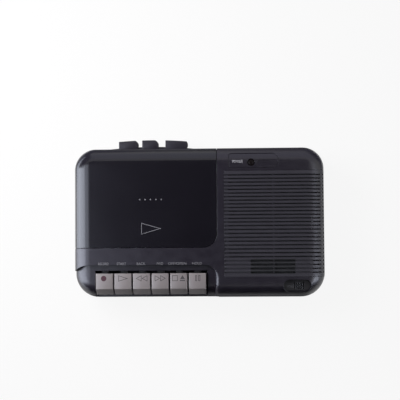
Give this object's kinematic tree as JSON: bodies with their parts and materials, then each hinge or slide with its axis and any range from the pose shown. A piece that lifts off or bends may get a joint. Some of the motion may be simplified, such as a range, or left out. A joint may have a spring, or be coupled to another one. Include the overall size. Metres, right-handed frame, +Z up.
{
  "type": "portable cassette recorder",
  "caption": "Flat portable cassette recorder with a rolled-edge case, smoked cassette door, piano keys, ribbed speaker grille and slide controls along the rear edge.",
  "frame": {"origin": "centre of the bounding box on the table under the feet, recorder lying on its back", "axes": "+Z up out of the front face, +X to the right with the keys nearest, +Y from the key edge to the rear edge"},
  "size_m": [0.188, 0.1198, 0.042],
  "materials": {
    "case_plastic": "fine matt grain",
    "grille_plastic": "fine matt grain",
    "door_gloss": "high gloss smoked",
    "door_inner": "satin",
    "key_plastic": "satin, silver grey",
    "knob_plastic": "satin",
    "inner_plastic": "satin",
    "socket_plastic": "gloss",
    "lamp_plastic": "clear tinted",
    "soft_rubber": "matt",
    "plain_steel": "zinc plated",
    "spring_steel": "bright",
    "turned_brass": "turned",
    "board_laminate": "lacquered",
    "magnet_ferrite": "dull",
    "cone_paper": "felted",
    "grille_cloth": "woven",
    "head_metal": "polished"
  },
  "bodies": {
    "case": {"front_case": "case_plastic", "rear_case": "case_plastic", "speaker_grille": "grille_plastic", "speaker_cloth": "grille_cloth", "speaker_frame": "plain_steel", "speaker_cone": "cone_paper", "speaker_magnet": "magnet_ferrite", "indicator_lamp": "lamp_plastic", "microphone": "plain_steel", "microphone_boot": "soft_rubber", "rubber_feet": "soft_rubber", "case_screws": "plain_steel", "battery_springs": "spring_steel", "battery_plates": "spring_steel", "circuit_board": "board_laminate", "slide_controls": "plain_steel", "dc_jack": "socket_plastic", "ear_jack": "socket_plastic", "mic_jack": "socket_plastic", "deck_chassis": "plain_steel", "deck_screws": "plain_steel", "bay_tray": "inner_plastic", "locating_pins": "plain_steel", "motor": "plain_steel", "drive_belt": "soft_rubber", "capstan_bearing": "turned_brass", "idler_post": "plain_steel", "spindle_bushes": "turned_brass", "key_shaft": "plain_steel", "key_spring": "spring_steel", "hinge_pins": "plain_steel"},
    "door": {"door_cover": "door_gloss", "door_frame": "door_inner", "cassette_guides": "door_inner", "cassette_springs": "spring_steel"},
    "lid": {"battery_lid": "case_plastic"},
    "speed_knob": {"speed_slider": "knob_plastic"},
    "tone_knob": {"tone_slider": "knob_plastic"},
    "volume_knob": {"volume_slider": "knob_plastic"},
    "fly": {"flywheel": "turned_brass", "capstan": "head_metal"},
    "pulley": {"motor_pulley": "turned_brass"},
    "idler": {"idler_wheel": "soft_rubber"},
    "supply": {"supply_spindle": "inner_plastic"},
    "takeup": {"takeup_spindle": "inner_plastic"},
    "head_carriage": {"head_plate": "plain_steel", "play_head": "head_metal", "erase_head": "inner_plastic", "pinch_arm": "plain_steel"},
    "pinch": {"pinch_roller": "soft_rubber"},
    "latch": {"eject_latch": "inner_plastic"},
    "record_key": {"key_record": "key_plastic"},
    "play_key": {"key_play": "key_plastic"},
    "rewind_key": {"key_rewind": "key_plastic"},
    "forward_key": {"key_forward": "key_plastic"},
    "stop_key": {"key_stop": "key_plastic"},
    "pause_key": {"key_pause": "key_plastic"}
  },
  "joints": [
    {"name": "door_hinge", "type": "hinge", "parent": "case", "child": "door", "pos_m": [-0.036, 0.04677, 0.0263], "axis": [-1, 0, 0], "range_deg": [0, 55]},
    {"name": "record_press", "type": "hinge", "parent": "case", "child": "record_key", "pos_m": [-0.07088, -0.03442, 0.031], "axis": [1, 0, 0], "range_deg": [0, 9], "stiffness_Nm_per_rad": 0.2, "springref_deg": -8.59, "deforming": ["key_spring"]},
    {"name": "play_press", "type": "hinge", "parent": "case", "child": "play_key", "pos_m": [-0.05695, -0.03442, 0.031], "axis": [1, 0, 0], "range_deg": [0, 9], "stiffness_Nm_per_rad": 0.2, "springref_deg": -8.59, "deforming": ["key_spring"]},
    {"name": "rewind_press", "type": "hinge", "parent": "case", "child": "rewind_key", "pos_m": [-0.04302, -0.03442, 0.031], "axis": [1, 0, 0], "range_deg": [0, 9], "stiffness_Nm_per_rad": 0.2, "springref_deg": -8.59, "deforming": ["key_spring"]},
    {"name": "forward_press", "type": "hinge", "parent": "case", "child": "forward_key", "pos_m": [-0.02909, -0.03442, 0.031], "axis": [1, 0, 0], "range_deg": [0, 9], "stiffness_Nm_per_rad": 0.2, "springref_deg": -8.59, "deforming": ["key_spring"]},
    {"name": "stop_press", "type": "hinge", "parent": "case", "child": "stop_key", "pos_m": [-0.01516, -0.03442, 0.031], "axis": [1, 0, 0], "range_deg": [0, 9], "stiffness_Nm_per_rad": 0.2, "springref_deg": -8.59, "deforming": ["key_spring"]},
    {"name": "pause_press", "type": "hinge", "parent": "case", "child": "pause_key", "pos_m": [-0.00123, -0.03442, 0.031], "axis": [1, 0, 0], "range_deg": [0, 9], "stiffness_Nm_per_rad": 0.2, "springref_deg": -8.59, "deforming": ["key_spring"]},
    {"name": "speed_slide", "type": "slide", "parent": "case", "child": "speed_knob", "axis": [1, 0, 0], "range_m": [-0.0048, 0.001]},
    {"name": "tone_slide", "type": "slide", "parent": "case", "child": "tone_knob", "axis": [1, 0, 0], "range_m": [-0.001, 0.003]},
    {"name": "volume_slide", "type": "slide", "parent": "case", "child": "volume_knob", "axis": [1, 0, 0], "range_m": [-0.001, 0.006]},
    {"name": "lid_slide", "type": "slide", "parent": "case", "child": "lid", "axis": [1, 0, 0], "range_m": [0, 0.068]},
    {"name": "flywheel_spin", "type": "hinge", "parent": "case", "child": "fly", "pos_m": [-0.0082, -0.01553, 0.007], "axis": [0, 0, 1], "continuous": true},
    {"name": "pulley_spin", "type": "hinge", "parent": "case", "child": "pulley", "pos_m": [-0.066, -0.00992, 0.0065], "axis": [0, 0, 1], "continuous": true},
    {"name": "idler_spin", "type": "hinge", "parent": "case", "child": "idler", "pos_m": [-0.00755, -0.00094, 0.0114], "axis": [0, 0, 1], "continuous": true},
    {"name": "takeup_spin", "type": "hinge", "parent": "case", "child": "takeup", "pos_m": [-0.01795, 0.01388, 0.02], "axis": [0, 0, 1], "continuous": true},
    {"name": "supply_spin", "type": "hinge", "parent": "case", "child": "supply", "pos_m": [-0.06045, 0.01388, 0.02], "axis": [0, 0, 1], "continuous": true},
    {"name": "head_slide", "type": "slide", "parent": "case", "child": "head_carriage", "axis": [0, 1, 0], "range_m": [0, 0.0045]},
    {"name": "pinch_spin", "type": "hinge", "parent": "head_carriage", "child": "pinch", "pos_m": [-0.0082, -0.02612, 0.0315], "axis": [0, 0, 1], "continuous": true},
    {"name": "latch_slide", "type": "slide", "parent": "case", "child": "latch", "axis": [0, -1, 0], "range_m": [0, 0.002]}
  ],
  "couplings": [
    {"joint": "pulley_spin", "follows": "flywheel_spin", "ratio": 4.641},
    {"joint": "idler_spin", "follows": "flywheel_spin", "ratio": -0.8125},
    {"joint": "takeup_spin", "follows": "flywheel_spin", "ratio": 0.65},
    {"joint": "play_press", "follows": "head_slide", "rad_per_m": 34.907},
    {"joint": "stop_press", "follows": "latch_slide", "rad_per_m": 78.54}
  ]
}
